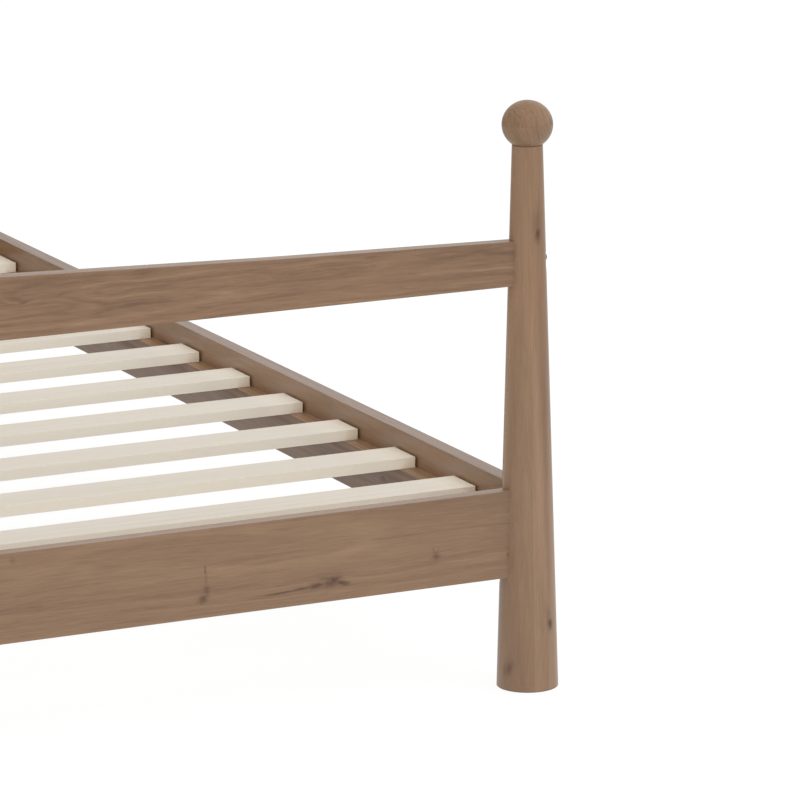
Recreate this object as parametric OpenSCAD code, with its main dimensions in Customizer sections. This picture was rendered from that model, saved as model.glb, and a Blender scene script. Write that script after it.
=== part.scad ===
// Low four poster bed with cone posts, ball finials, arched end rails,
// slats on side ledges and a centre support beam. Units: millimetres.
// Origin: on the floor, at the middle of the footprint.
// +Z is up, -Y is the foot end, +Y is the head end.

/* [Mattress space] */
// Clear width between the side rails
inner_w = 1950; // [1400:10:2000]
// Clear length between the foot rail and the head rail
inner_l = 2090; // [2030:5:2110]

/* [Posts] */
// Radius of a post where it meets the floor
post_r = 42.8; // [40:0.1:46]
// Radius of a post at its neck, under the ball
neck_r = 21.2; // [20:0.1:24]
// Height of the neck of the foot posts
foot_neck_z = 759.5; // [740:0.5:800]
// Height of the neck of the head posts
head_neck_z = 1102.5; // [1060:0.5:1200]
// Ball radius seen from above
ball_r = 35; // [30:0.1:38]
// Half of the ball's full height
ball_hz = 33.3; // [29:0.1:37]
// How deep the ball's flat seat cuts into it
ball_seat = 5.9; // [2:0.1:6]
// Height of a post's end face above the floor, filled by its glide
glide_gap = 0.4; // [0.4:0.2:3]

/* [Lower rails] */
// Height of the lower edge of the lower rails
rail_z = 160.2; // [150:0.1:170]
// Height of the boards of the lower rails
rail_h = 122.8; // [115:0.1:130]
// Thickness of the boards across the foot and the head
rail_t = 20.5; // [18:0.5:24]
// Thickness of the side boards
side_t = 23.3; // [20:0.1:26]
// Outer face of a lower end rail, outward of the post axis
rail_out = 13; // [10:0.5:14]
// Inner face of a side rail, inward of the post axis
side_in = 11.9; // [9:0.1:13]
// Gap between the post axis and the square end of a side rail
side_end = 34.6; // [34:0.1:36]

/* [Upper rails] */
// Height of the lower edge of the foot end's upper rail
upper_z = 567.1; // [540:0.1:600]
// Height of the lower edge of the headboard's top rail
top_z = 900; // [860:5:930]
// Board height of an arched rail, at the posts
arch_h = 61.4; // [55:0.1:70]
// Straight part of the rise towards the middle
arch_rise = 19.7; // [0:0.1:30]
// Extra rise that grows towards the middle
arch_curve = 12.4; // [0:0.1:20]
// Half-length of the soft crown at the middle
arch_soft = 50; // [10:5:120]
// Outer face of an upper rail, outward of the post axis
upper_out = 8.5; // [6:0.5:10]

/* [Headboard] */
// Height of the lower edge of the middle rail
mid_z = 430; // [380:5:460]
// Board height of the middle rail
mid_h = 55; // [50:1:80]
// Thickness of the panel
panel_t = 12; // [9:1:14]
// How deep the panel sits in the rails' grooves
panel_in = 7; // [5:1:8]

/* [Slats] */
// Height of the slats' upper face
slat_z = 256.1; // [250:0.1:262]
// Slat thickness
slat_t = 15.7; // [14:0.1:18]
// Slat width
slat_w = 68.7; // [55:0.1:75]
// Spacing from one slat to the next
slat_pitch = 192.2; // [180:0.1:194]
// Gap between the foot rail and the first slat
slat_gap = 121.7; // [110:0.1:130]
// Play between a slat's end and the side rail
slat_play = 3.2; // [1:0.1:4]
// Width of the ledge under the slats, clear of the side rail
ledge_w = 24.7; // [20:0.1:30]
// Height of the ledge
ledge_h = 24; // [20:1:28]

/* [Centre support] */
// Width of the centre beam
beam_w = 45; // [38:1:60]
// Height of the centre beam
beam_h = 70; // [60:1:80]
// Spacing of the centre legs
leg_pitch = 640; // [560:10:700]
// Height of a leg's lower end above the floor
leg_z = 22; // [21:1:28]

/* [Hidden] */
$fn = 64;
eps = 1;

// Post axes
post_x = inner_w/2 + side_in;
rail_in = rail_t - rail_out;            // lower end rail, inward of the axis
end_span = inner_l + 2*rail_in;         // foot axis to head axis
foot_y = -end_span/2;
head_y = end_span/2;
foot_face = foot_y + rail_in;           // inner face of the foot rail
head_face = head_y - rail_in;

// Joinery
low_end = 28;      // end of a lower rail, from the post axis
up_end = 16;       // end of an upper rail, from the post axis
mid_end = 20;      // end of the middle rail, from the post axis
panel_end = 17;    // edge of the panel, from the post axis
ledge_end = 38;    // end of a slat ledge, from the post axis
arch_mid = upper_out - rail_t/2;        // centre of an upper rail, outward
bolt_dz = arch_h/2 + 4;                 // bolt above an upper rail's lower edge
nut_x = 56;        // barrel nut, from the post axis
dowel_r = 5;
pin_r = 3;
play = 0.1;        // radial play of dowels and bolts in their holes

// Centre support
ledge_z = slat_z - slat_t;
beam_z = ledge_z - beam_h;
saddle_t = 3;
saddle_d = 40;

wood = [0.56, 0.46, 0.37];
wood_in = [0.50, 0.40, 0.32];
pale = [0.87, 0.84, 0.79];
steel = [0.62, 0.63, 0.65];
brass = [0.72, 0.60, 0.35];
dark = [0.16, 0.15, 0.15];

function cone_r(z, neck) = post_r - (post_r - neck_r)*z/neck;
// Rise of an arched rail at distance x from the bed's middle
function run_in(x) = max(0, (post_x - sqrt(x*x + arch_soft*arch_soft))/post_x);
function arch(x) = arch_rise*run_in(x) + arch_curve*pow(run_in(x), 2);
function slat_y(i) = foot_face + slat_gap + (i - 1)*slat_pitch;

// One corner: the post axis stands at the origin, +X and -Y point outward.
module corner(sx, sy) {
  translate([sx*post_x, sy*head_y, 0])
    mirror([sx < 0 ? 1 : 0, 0, 0]) mirror([0, sy > 0 ? 1 : 0, 0]) children();
}
module four_corners() {
  corner(1, -1) children();
  corner(-1, -1) children();
  corner(1, 1) children();
  corner(-1, 1) children();
}
module x_rod(x0, x1, y, z, r) {
  translate([x0, y, z]) rotate([0, 90, 0]) cylinder(r = r, h = x1 - x0);
}
module y_rod(x, y0, y1, z, r) {
  translate([x, y0, z]) rotate([-90, 0, 0]) cylinder(r = r, h = y1 - y0);
}
module block(x0, x1, y0, y1, z0, z1) {
  translate([x0, y0, z0]) cube([x1 - x0, y1 - y0, z1 - z0]);
}

// ---- boards, whole and undrilled -----------------------------------------
module end_board(y0, z0, h, e) {
  block(-post_x + e, post_x - e, y0, y0 + rail_t, z0, z0 + h);
}
module foot_low_board() { end_board(foot_y - rail_out, rail_z, rail_h, low_end); }
module head_low_board() { end_board(head_y - rail_in, rail_z, rail_h, low_end); }
module mid_board() { end_board(head_y + upper_out - rail_t, mid_z, mid_h, mid_end); }
module arch_board(y0, z0) {
  half = post_x - up_end;
  n = 60;
  top = [for (i = [-n:n]) let (x = half*i/n) [x, arch_h + arch(x)]];
  translate([0, y0 + rail_t, z0]) rotate([90, 0, 0])
    linear_extrude(rail_t)
      polygon(concat([[half, 0], [-half, 0]], top));
}
module foot_up_board() { arch_board(foot_y - upper_out, upper_z); }
module head_top_board() { arch_board(head_y + upper_out - rail_t, top_z); }
module side_board(s) {
  x0 = s > 0 ? inner_w/2 : -inner_w/2 - side_t;
  block(x0, x0 + side_t, foot_y + side_end, head_y - side_end, rail_z, rail_z + rail_h);
}
module panel_board() {
  yc = head_y + arch_mid;
  block(-post_x + panel_end, post_x - panel_end, yc - panel_t/2, yc + panel_t/2,
        mid_z + mid_h - panel_in, top_z + panel_in);
}
module ledge_board(s) {
  x0 = s > 0 ? inner_w/2 - ledge_w : -inner_w/2 - 5;
  block(x0, x0 + ledge_w + 5, foot_y + ledge_end, head_y - ledge_end, ledge_z - ledge_h, ledge_z);
}

// ---- holes shared by mating pieces, in one corner's own frame -------------
module low_dowel_rods(r, extra) {
  for (dz = [30, rail_h - 30])
    x_rod(-low_end - 30 - extra, -low_end + 30 + extra, -rail_out + rail_t/2, rail_z + dz, r);
}
module up_dowel_rod(z0, r, extra) {
  x_rod(-up_end - 24 - extra, -up_end + 18 + extra, -arch_mid, z0 + 13, r);
}
module mid_dowel_rods(r, extra) {
  for (dz = [16, mid_h - 16])
    x_rod(-mid_end - 28 - extra, -mid_end + 22 + extra, -arch_mid, mid_z + dz, r);
}
module bolt_way(z0, neck) {
  z = z0 + bolt_dz;
  x_rod(-up_end - 56, post_r, -arch_mid, z, 3 + play);
  x_rod(cone_r(z, neck) - 14, post_r, -arch_mid, z, 6 + play);
}
module hook_cavity() {
  block(-7, 7, side_end - 2.5, side_end + eps, rail_z + 16, rail_z + 106);
  block(-3, 3, side_end - 14, side_end, rail_z + 26, rail_z + 96);
  for (z = [22, 100]) y_rod(0, side_end - 24, side_end, rail_z + z, 1.9);
}

// ---- posts ----------------------------------------------------------------
module cone(neck) {
  rotate_extrude($fn = 96)
    polygon([[0, glide_gap], [cone_r(glide_gap, neck) - 0.5, glide_gap],
             [cone_r(glide_gap + 0.5, neck), glide_gap + 0.5],
             [cone_r(neck - 0.4, neck), neck - 0.4], [neck_r - 0.4, neck], [0, neck]]);
}
module post_common(neck, z_up) {
  translate([0, 0, -eps]) cylinder(r = 22 + play, h = glide_gap + 3 + eps);
  translate([0, 0, neck - 22]) cylinder(r = 6 + play, h = 30);
  low_dowel_rods(dowel_r + play, 0.5);
  up_dowel_rod(z_up, 4 + play, 0.5);
  bolt_way(z_up, neck);
  hook_cavity();
}
module foot_post(s) {
  color(wood) difference() {
    corner(s, -1) cone(foot_neck_z);
    foot_low_board();
    foot_up_board();
    side_board(s);
    corner(s, -1) post_common(foot_neck_z, upper_z);
  }
}
module head_post(s) {
  color(wood) difference() {
    corner(s, 1) cone(head_neck_z);
    head_low_board();
    mid_board();
    head_top_board();
    panel_board();
    side_board(s);
    corner(s, 1) post_common(head_neck_z, top_z);
    corner(s, 1) mid_dowel_rods(4 + play, 0.5);
  }
}
module foot_post_left() { foot_post(-1); }
module foot_post_right() { foot_post(1); }
module head_post_left() { head_post(-1); }
module head_post_right() { head_post(1); }

// ---- ball finials ----------------------------------------------------------
module ball(neck) {
  a0 = asin(-(ball_hz - ball_seat)/ball_hz);
  n = 56;
  pts = [for (i = [0:n]) let (a = a0 + (90 - a0)*i/n) [ball_r*cos(a), ball_hz*sin(a)]];
  difference() {
    translate([0, 0, neck + ball_hz - ball_seat])
      rotate_extrude($fn = 96)
        polygon(concat([[0, ball_hz*sin(a0)]],
                       [for (p = pts) [max(p[0], 0), p[1]]]));
    translate([0, 0, neck - eps]) cylinder(r = 6 + play, h = 18.5 + eps);
  }
}
module foot_finial_left() { color(wood) corner(-1, -1) ball(foot_neck_z); }
module foot_finial_right() { color(wood) corner(1, -1) ball(foot_neck_z); }
module head_finial_left() { color(wood) corner(-1, 1) ball(head_neck_z); }
module head_finial_right() { color(wood) corner(1, 1) ball(head_neck_z); }
module finial_dowels() {
  color(pale) {
    for (s = [-1, 1]) {
      corner(s, -1) translate([0, 0, foot_neck_z - 21.5]) cylinder(r = 6, h = 39.5);
      corner(s, 1) translate([0, 0, head_neck_z - 21.5]) cylinder(r = 6, h = 39.5);
    }
  }
}

// ---- end rails --------------------------------------------------------------
module hanger_holes(y_face, sy) {
  for (x = [-36, 36], z = [12, 52])
    y_rod(x, sy > 0 ? y_face : y_face - 14.5, sy > 0 ? y_face + 14.5 : y_face, beam_z + z, 2.3);
}
module foot_lower_rail() {
  color(wood) difference() {
    foot_low_board();
    for (s = [-1, 1]) corner(s, -1) low_dowel_rods(dowel_r + play, 0.5);
    hanger_holes(foot_face, -1);
  }
}
module head_lower_rail() {
  color(wood) difference() {
    head_low_board();
    for (s = [-1, 1]) corner(s, 1) low_dowel_rods(dowel_r + play, 0.5);
    hanger_holes(head_face, 1);
  }
}
module nut_bore(z0) {
  y_rod(-nut_x, -upper_out + 4, -upper_out + rail_t + eps, z0 + bolt_dz, 5 + play);
}
module foot_upper_rail() {
  color(wood) difference() {
    foot_up_board();
    for (s = [-1, 1]) corner(s, -1) {
      up_dowel_rod(upper_z, 4 + play, 0.5);
      bolt_way(upper_z, foot_neck_z);
      nut_bore(upper_z);
    }
  }
}
module head_top_rail() {
  color(wood) difference() {
    head_top_board();
    panel_board();
    for (s = [-1, 1]) corner(s, 1) {
      up_dowel_rod(top_z, 4 + play, 0.5);
      bolt_way(top_z, head_neck_z);
      y_rod(-nut_x, -upper_out - eps, -upper_out + rail_t - 4, top_z + bolt_dz, 5 + play);
    }
  }
}
module head_mid_rail() {
  color(wood) difference() {
    mid_board();
    panel_board();
    for (s = [-1, 1]) corner(s, 1) mid_dowel_rods(4 + play, 0.5);
  }
}
module headboard_panel() { color(wood) panel_board(); }

// ---- side rails and ledges ---------------------------------------------------
module side_rail(s) {
  color(wood) difference() {
    side_board(s);
    ledge_board(s);
    for (sy = [-1, 1]) corner(s, sy) {
      block(-7, 7, side_end - eps, side_end + 2.5, rail_z + 16, rail_z + 106);
      for (z = [22, 100]) y_rod(0, side_end, side_end + 24, rail_z + z, 1.9);
    }
  }
}
module side_rail_left() { side_rail(-1); }
module side_rail_right() { side_rail(1); }
module pin_rods(s, r, extra) {
  for (i = [1:10])
    translate([s*(inner_w/2 - 14), slat_y(i) + slat_w/2, ledge_z - 8 - extra])
      cylinder(r = r, h = 16 + 2*extra);
}
module slat_ledge(s) {
  color(wood_in) difference() {
    ledge_board(s);
    pin_rods(s, pin_r + play, 0.3);
  }
}
module slat_ledge_left() { slat_ledge(-1); }
module slat_ledge_right() { slat_ledge(1); }
module slat_pins() { color(pale) { pin_rods(-1, pin_r, 0); pin_rods(1, pin_r, 0); } }

// ---- slats --------------------------------------------------------------------
module slat(i) {
  l = inner_w/2 - slat_play;
  color(pale) difference() {
    block(-l, l, slat_y(i), slat_y(i) + slat_w, ledge_z, slat_z);
    for (s = [-1, 1])
      translate([s*(inner_w/2 - 14), slat_y(i) + slat_w/2, ledge_z - eps])
        cylinder(r = pin_r + play, h = 8.3 + eps);
  }
}

// ---- centre support -------------------------------------------------------------
module leg_stations() {
  for (i = [-1:1]) translate([0, i*leg_pitch, 0]) children();
}
module center_beam() {
  color(wood_in) difference() {
    block(-beam_w/2, beam_w/2, foot_face + saddle_t + 0.5, head_face - saddle_t - 0.5, beam_z, ledge_z);
    leg_stations() translate([0, 0, beam_z - eps]) cylinder(r = 4 + play, h = 40.5 + eps);
  }
}
// Saddle bracket: its back plate lies on the plane y = 0 and it opens to +Y
module beam_saddle() {
  difference() {
    union() {
      block(-48, 48, 0, saddle_t, beam_z - saddle_t, beam_z + 62);
      block(-beam_w/2 - saddle_t, beam_w/2 + saddle_t, 0, saddle_d, beam_z - saddle_t, beam_z + 62);
    }
    block(-beam_w/2, beam_w/2, saddle_t, saddle_d + eps, beam_z, beam_z + 62 + eps);
    for (x = [-36, 36], z = [12, 52]) y_rod(x, -eps, saddle_t + eps, beam_z + z, 2.3);
  }
}
module beam_hanger_foot() { color(steel) translate([0, foot_face, 0]) beam_saddle(); }
module beam_hanger_head() { color(steel) translate([0, head_face, 0]) mirror([0, 1, 0]) beam_saddle(); }
module saddle_screws() {
  for (x = [-36, 36], z = [12, 52]) {
    y_rod(x, -14, saddle_t, beam_z + z, 2.2);
    y_rod(x, saddle_t, saddle_t + 2.4, beam_z + z, 4.4);
  }
}
module hanger_screws() {
  color(steel) {
    translate([0, foot_face, 0]) saddle_screws();
    translate([0, head_face, 0]) mirror([0, 1, 0]) saddle_screws();
  }
}
module leg_solid() {
  difference() {
    translate([0, 0, leg_z]) cylinder(r1 = 18, r2 = 24, h = beam_z - leg_z);
    translate([0, 0, beam_z - 32]) cylinder(r = 4 + play, h = 34);
    translate([0, 0, leg_z - eps]) cylinder(r = 6.1, h = 16 + eps);
    translate([0, 0, leg_z]) cylinder(r = 4.6, h = 46);
  }
}
module center_leg(i) { color(wood_in) translate([0, i*leg_pitch, 0]) leg_solid(); }
module center_leg_front() { center_leg(-1); }
module center_leg_middle() { center_leg(0); }
module center_leg_rear() { center_leg(1); }
module leg_inserts() {
  color(brass) leg_stations() difference() {
    translate([0, 0, leg_z]) cylinder(r = 6, h = 16);
    translate([0, 0, leg_z - eps]) cylinder(r = 4.06, h = 18);
  }
}
module leg_studs() {
  color(steel) leg_stations() translate([0, 0, beam_z - 31.5]) cylinder(r = 4, h = 71.5);
}
module leveller(i) {
  color(dark) translate([0, i*leg_pitch, 0]) {
    rotate_extrude() polygon([[0, 0], [15, 0], [16, 1], [16, 5], [14, 7], [6, 8], [0, 8]]);
    translate([0, 0, 8]) cylinder(r = 4, h = 44);
  }
}
module leveller_front() { leveller(-1); }
module leveller_middle() { leveller(0); }
module leveller_rear() { leveller(1); }

// ---- dowels, bolts, nuts, caps ---------------------------------------------------
module foot_rail_dowels() {
  color(pale) for (s = [-1, 1]) corner(s, -1) {
    low_dowel_rods(dowel_r, 0);
    up_dowel_rod(upper_z, 4, 0);
  }
}
module head_rail_dowels() {
  color(pale) for (s = [-1, 1]) corner(s, 1) {
    low_dowel_rods(dowel_r, 0);
    up_dowel_rod(top_z, 4, 0);
    mid_dowel_rods(4, 0);
  }
}
module rail_bolt(z0, neck) {
  z = z0 + bolt_dz;
  seat = cone_r(z, neck) - 14;
  difference() {
    union() {
      x_rod(-up_end - 54, seat, -arch_mid, z, 3);
      x_rod(seat, seat + 6, -arch_mid, z, 5);
    }
    x_rod(seat + 3, seat + 6 + eps, -arch_mid, z, 2.5);
  }
}
module upper_rail_bolts() {
  color(steel) for (s = [-1, 1]) {
    corner(s, -1) rail_bolt(upper_z, foot_neck_z);
    corner(s, 1) rail_bolt(top_z, head_neck_z);
  }
}
module barrel_nut(y0, z0, slot_y) {
  z = z0 + bolt_dz;
  difference() {
    y_rod(-nut_x, y0, y0 + 14.5, z, 5);
    x_rod(-nut_x - 8, -nut_x + 8, -arch_mid, z, 3 + play/2);
    block(-nut_x - 6, -nut_x + 6, slot_y - 1, slot_y + 1, z - 0.6, z + 0.6);
  }
}
module barrel_nuts() {
  color(steel) for (s = [-1, 1]) {
    corner(s, -1) barrel_nut(-arch_mid - 5.75, upper_z, -arch_mid + 8.75);
    corner(s, 1) barrel_nut(-arch_mid - 8.75, top_z, -arch_mid - 8.75);
  }
}
// Domed cover cap pressed into the bolt's counterbore
module cap(z0, neck) {
  z = z0 + bolt_dz;
  x0 = cone_r(z, neck);
  translate([x0, -arch_mid, z]) rotate([0, 90, 0]) rotate_extrude()
    polygon(concat([[0, -6.5], [6, -6.5], [6, -0.3]],
                   [for (i = [1:8]) [6*cos(90*i/8), -0.3 + 4.8*sin(90*i/8)]]));
}
module bolt_caps() {
  color(wood) for (s = [-1, 1]) {
    corner(s, -1) cap(upper_z, foot_neck_z);
    corner(s, 1) cap(top_z, head_neck_z);
  }
}

// ---- hook fittings between side rails and posts ------------------------------------
module hook_plate() {
  difference() {
    union() {
      block(-7, 7, side_end, side_end + 2.5, rail_z + 16, rail_z + 106);
      for (z = [34, 70]) {
        block(-1.5, 1.5, side_end - 10, side_end, rail_z + z, rail_z + z + 14);
        block(-1.5, 1.5, side_end - 10, side_end - 4, rail_z + z - 6, rail_z + z);
      }
    }
    for (z = [22, 100]) {
      y_rod(0, side_end - eps, side_end + 3, rail_z + z, 1.9);
      y_rod(0, side_end - eps, side_end + 1.5, rail_z + z, 3.6);
    }
  }
}
module hook_plates() { color(steel) four_corners() hook_plate(); }
module slot_plate() {
  difference() {
    block(-7, 7, side_end - 2.5, side_end, rail_z + 16, rail_z + 106);
    for (z = [34, 70])
      block(-1.9, 1.9, side_end - 4, side_end + eps, rail_z + z - 7, rail_z + z + 15);
    for (z = [22, 100]) {
      y_rod(0, side_end - 3, side_end + eps, rail_z + z, 1.9);
      y_rod(0, side_end - 1.5, side_end + eps, rail_z + z, 3.6);
    }
  }
}
module slot_plates() { color(steel) four_corners() slot_plate(); }
module hook_plate_screws() {
  color(steel) four_corners() for (z = [22, 100]) {
    y_rod(0, side_end + 0.1, side_end + 1.5, rail_z + z, 3.5);
    y_rod(0, side_end + 1.5, side_end + 22, rail_z + z, 1.8);
  }
}
module slot_plate_screws() {
  color(steel) four_corners() for (z = [22, 100]) {
    y_rod(0, side_end - 1.5, side_end - 0.1, rail_z + z, 3.5);
    y_rod(0, side_end - 22, side_end - 1.5, rail_z + z, 1.8);
  }
}
module post_glides() {
  color(dark) four_corners() cylinder(r = 22, h = glide_gap + 3);
}

foot_post_left();
foot_post_right();
head_post_left();
head_post_right();
foot_finial_left();
foot_finial_right();
head_finial_left();
head_finial_right();
foot_lower_rail();
foot_upper_rail();
head_lower_rail();
head_mid_rail();
head_top_rail();
headboard_panel();
side_rail_left();
side_rail_right();
slat_ledge_left();
slat_ledge_right();
slat(1);  // slat_01
slat(2);  // slat_02
slat(3);  // slat_03
slat(4);  // slat_04
slat(5);  // slat_05
slat(6);  // slat_06
slat(7);  // slat_07
slat(8);  // slat_08
slat(9);  // slat_09
slat(10);  // slat_10
center_beam();
beam_hanger_foot();
beam_hanger_head();
center_leg_front();
center_leg_middle();
center_leg_rear();
leveller_front();
leveller_middle();
leveller_rear();
leg_inserts();
leg_studs();
finial_dowels();
foot_rail_dowels();
head_rail_dowels();
upper_rail_bolts();
barrel_nuts();
bolt_caps();
hook_plates();
slot_plates();
hook_plate_screws();
slot_plate_screws();
hanger_screws();
slat_pins();
post_glides();
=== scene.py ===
import bpy, bmesh, math
from mathutils import Vector, Matrix


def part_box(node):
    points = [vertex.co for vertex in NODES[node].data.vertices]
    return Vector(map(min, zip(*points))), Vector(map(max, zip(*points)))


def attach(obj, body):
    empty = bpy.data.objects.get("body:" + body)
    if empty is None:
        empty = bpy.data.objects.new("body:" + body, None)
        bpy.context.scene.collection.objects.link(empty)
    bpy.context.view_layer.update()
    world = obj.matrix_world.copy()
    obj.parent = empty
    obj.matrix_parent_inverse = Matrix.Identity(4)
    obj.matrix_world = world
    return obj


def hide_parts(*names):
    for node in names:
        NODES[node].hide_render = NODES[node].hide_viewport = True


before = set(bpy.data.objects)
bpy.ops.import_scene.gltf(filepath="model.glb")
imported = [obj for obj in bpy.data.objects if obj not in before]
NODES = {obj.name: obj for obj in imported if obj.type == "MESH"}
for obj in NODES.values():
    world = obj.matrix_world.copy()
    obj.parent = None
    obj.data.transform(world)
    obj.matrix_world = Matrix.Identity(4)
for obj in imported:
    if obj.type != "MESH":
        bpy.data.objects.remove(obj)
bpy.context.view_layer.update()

# ---------------------------------------------------------------- camera ----
cam_data = bpy.data.cameras.new("camera")
cam = bpy.data.objects.new("camera", cam_data)
bpy.context.scene.collection.objects.link(cam)
right = Vector((0.900837, -0.434123, -0.005438))
up = Vector((0.103553, 0.202682, 0.973754))
fwd = Vector((0.421627, 0.877757, -0.227538))
rot = Matrix((right, up, -fwd)).transposed()
cam.matrix_world = Matrix.Translation((-2.21826, -7.32468, 2.05021)) @ rot.to_4x4()
cam_data.sensor_width = 36.0
cam_data.lens = 238.03777
cam_data.shift_x = -0.000625
cam_data.shift_y = 0.000625
cam_data.clip_start = 0.05
cam_data.clip_end = 400.0
cam_data.dof.use_dof = False
bpy.context.scene.camera = cam


# ------------------------------------------------------- node-tree helper ----
class Tree:
    """A material's node tree, built by short calls."""

    def __init__(self, name):
        self.mat = bpy.data.materials.new(name)
        self.mat.use_nodes = True
        self.nt = self.mat.node_tree
        self.nt.nodes.clear()
        self.out = self.node("ShaderNodeOutputMaterial")
        self.bsdf = self.node("ShaderNodeBsdfPrincipled")
        self.nt.links.new(self.bsdf.outputs["BSDF"], self.out.inputs["Surface"])

    def node(self, kind, **props):
        n = self.nt.nodes.new(kind)
        for k, v in props.items():
            setattr(n, k, v)
        return n

    def put(self, socket, value):
        if isinstance(value, bpy.types.NodeSocket):
            self.nt.links.new(value, socket)
        else:
            socket.default_value = value

    def math(self, op, a, b=None, c=None, clamp=False):
        n = self.node("ShaderNodeMath", operation=op, use_clamp=clamp)
        for i, v in enumerate((a, b, c)):
            if v is not None:
                self.put(n.inputs[i], v)
        return n.outputs[0]

    def add(self, a, b): return self.math("ADD", a, b)
    def sub(self, a, b): return self.math("SUBTRACT", a, b)
    def mul(self, a, b): return self.math("MULTIPLY", a, b)
    def mad(self, a, b, c): return self.math("MULTIPLY_ADD", a, b, c)

    def xyz(self, x, y, z):
        n = self.node("ShaderNodeCombineXYZ")
        for i, v in enumerate((x, y, z)):
            self.put(n.inputs[i], v)
        return n.outputs[0]

    def split(self, v):
        n = self.node("ShaderNodeSeparateXYZ")
        self.put(n.inputs[0], v)
        return n.outputs

    def noise(self, vec, scale=1.0, detail=2.0, rough=0.5, distort=0.0):
        n = self.node("ShaderNodeTexNoise", noise_dimensions="3D")
        self.put(n.inputs["Vector"], vec)
        n.inputs["Scale"].default_value = scale
        n.inputs["Detail"].default_value = detail
        n.inputs["Roughness"].default_value = rough
        n.inputs["Distortion"].default_value = distort
        return n

    def noise1(self, w, scale=1.0, detail=2.0, rough=0.5):
        n = self.node("ShaderNodeTexNoise", noise_dimensions="1D")
        self.put(n.inputs["W"], w)
        n.inputs["Scale"].default_value = scale
        n.inputs["Detail"].default_value = detail
        n.inputs["Roughness"].default_value = rough
        return n.outputs["Fac"]

    def ramp(self, fac, stops, interp="LINEAR"):
        n = self.node("ShaderNodeValToRGB")
        n.color_ramp.interpolation = interp
        el = n.color_ramp.elements
        while len(el) < len(stops):
            el.new(0.5)
        for e, (p, c) in zip(el, stops):
            e.position = p
            e.color = (*c, 1.0) if len(c) == 3 else c
        self.put(n.inputs[0], fac)
        return n.outputs[0]

    def range(self, v, a, b, c=0.0, d=1.0, smooth=True):
        n = self.node("ShaderNodeMapRange", interpolation_type="SMOOTHSTEP" if smooth else "LINEAR")
        n.clamp = True
        self.put(n.inputs[0], v)
        for i, x in zip((1, 2, 3, 4), (a, b, c, d)):
            n.inputs[i].default_value = x
        return n.outputs[0]

    def mix(self, fac, a, b, blend="MIX"):
        n = self.node("ShaderNodeMix", data_type="RGBA", blend_type=blend)
        self.put(n.inputs[0], fac)
        for s, v in ((n.inputs[6], a), (n.inputs[7], b)):
            self.put(s, v if isinstance(v, bpy.types.NodeSocket) else (*v, 1.0))
        return n.outputs[2]

    def bump(self, height, strength, distance):
        n = self.node("ShaderNodeBump")
        n.inputs["Strength"].default_value = strength
        n.inputs["Distance"].default_value = distance
        self.put(n.inputs["Height"], height)
        return n.outputs[0]

    def grain_coords(self, axis, box):
        """(along, across, depth) of a board: the grain runs along `axis`, and the board's middle is the origin across."""
        coord = self.node("ShaderNodeTexCoord")
        x, y, z = self.split(coord.outputs["Object"])
        (lo, hi) = box
        mid = (lo + hi) / 2
        s = {"X": (x, z, y), "Y": (y, z, x), "Z": (z, x, y)}[axis]
        m = {"X": (0.0, mid.z, mid.y), "Y": (0.0, mid.z, mid.x), "Z": (0.0, mid.x, mid.y)}[axis]
        self.xyz_raw = (x, y, z)
        return tuple(self.sub(a, b) if b else a for a, b in zip(s, m))


def srgb(r, g, b):
    f = lambda v: (v / 255 / 12.92) if v / 255 <= 0.04045 else ((v / 255 + 0.055) / 1.055) ** 2.4
    return (f(r), f(g), f(b))


def scaled(c, k):
    return tuple(v * k for v in c)


# ------------------------------------------------------------------- oak ----
def ellipse(t, a, c, k, wobble):
    """How far (a, c) is from a knot's centre, in its own radii."""
    ca, sa = math.cos(k.get("turn", 0.0)), math.sin(k.get("turn", 0.0))
    da, dc = t.sub(a, k["at"][0]), t.sub(c, k["at"][1])
    u = t.mad(da, ca / k["size"][0], t.mul(dc, sa / k["size"][0]))
    v = t.mad(da, -sa / k["size"][1], t.mul(dc, ca / k["size"][1]))
    d = t.math("SQRT", t.mad(u, u, t.mul(v, v)))
    return t.mad(wobble, k.get("rag", 0.5), d)


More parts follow.
